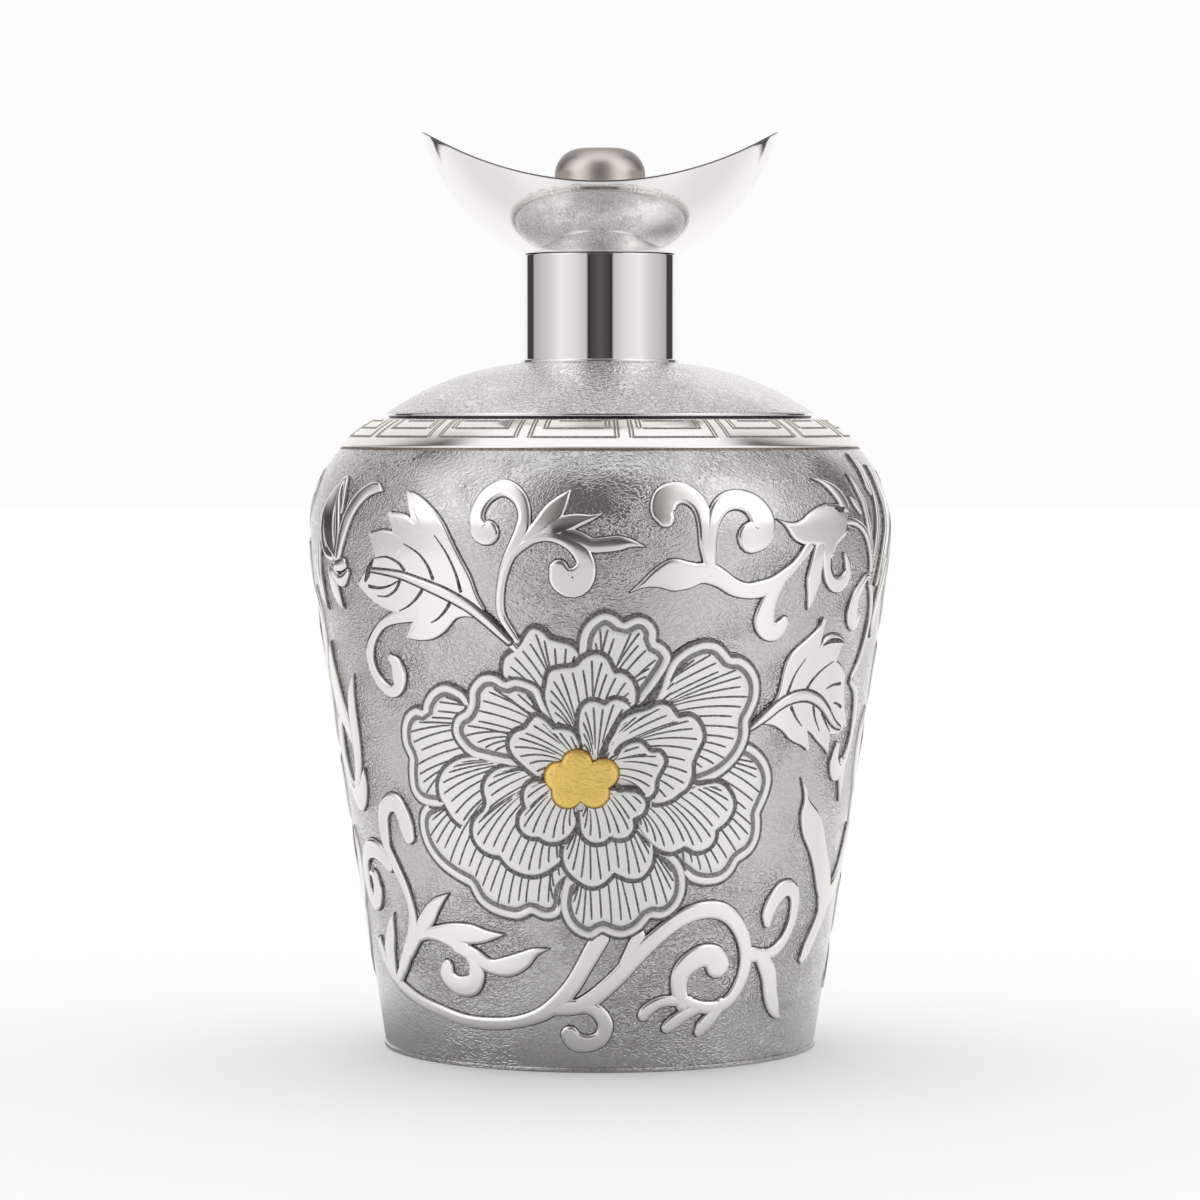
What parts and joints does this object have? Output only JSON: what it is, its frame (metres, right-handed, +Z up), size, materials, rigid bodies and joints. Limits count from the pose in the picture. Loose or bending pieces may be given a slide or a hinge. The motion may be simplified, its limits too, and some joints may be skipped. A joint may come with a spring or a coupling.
{
  "type": "stoppered silver vessel",
  "caption": "Tapering silver jar with chased peony scrolls, a key-fret shoulder band, a lift-off domed lid with a polished neck, and an ingot-shaped stopper.",
  "frame": {"origin": "centre of the foot, on the surface that the vessel stands on", "axes": "+Z up along the vessel's axis, -Y towards the front flower, +X towards the ingot's right tip"},
  "size_m": [0.092, 0.092, 0.1451],
  "materials": {
    "matt_silver": "grained matt silver, greyed by oxide in the grain",
    "chased_silver": "burnished relief with dark chased lines",
    "bright_silver": "bright silver",
    "mirror_silver": "mirror-polished silver",
    "satin_silver": "satin brushed silver",
    "gilt": "stippled gilt",
    "seal": "translucent white silicone"
  },
  "bodies": {
    "vessel": {"body_shell": "matt_silver", "base_plate": "matt_silver", "foot_rim": "matt_silver", "mouth_collar": "bright_silver", "fret_band": "bright_silver", "front_peony": "chased_silver", "back_peony": "chased_silver", "front_gilt_centre": "gilt", "back_gilt_centre": "gilt"},
    "lid_seal": {"lid_gasket": "seal"},
    "lid": {"lid_dome": "matt_silver", "lid_rim_wire": "bright_silver", "lid_deck": "bright_silver", "lid_skirt": "bright_silver", "neck_tube": "mirror_silver", "neck_bead": "bright_silver"},
    "stopper_seals": {"upper_seal_ring": "seal", "lower_seal_ring": "seal"},
    "stopper": {"ingot_bowl": "mirror_silver", "ingot_button": "satin_silver", "stopper_plug": "bright_silver", "stopper_stud": "bright_silver", "stopper_washer": "bright_silver", "stopper_nut": "bright_silver"}
  },
  "joints": [
    {"name": "lid_lift", "type": "slide", "parent": "vessel", "child": "lid_seal", "axis": [0, 0, 1], "range_m": [0, 0.03]},
    {"name": "lid_turn", "type": "hinge", "parent": "lid_seal", "child": "lid", "pos_m": [0, 0, 0.1018], "axis": [0, 0, 1], "continuous": true},
    {"name": "stopper_lift", "type": "slide", "parent": "lid", "child": "stopper_seals", "axis": [0, 0, 1], "range_m": [0, 0.03]},
    {"name": "stopper_turn", "type": "hinge", "parent": "stopper_seals", "child": "stopper", "pos_m": [0, 0, 0.1173], "axis": [0, 0, 1], "continuous": true}
  ]
}
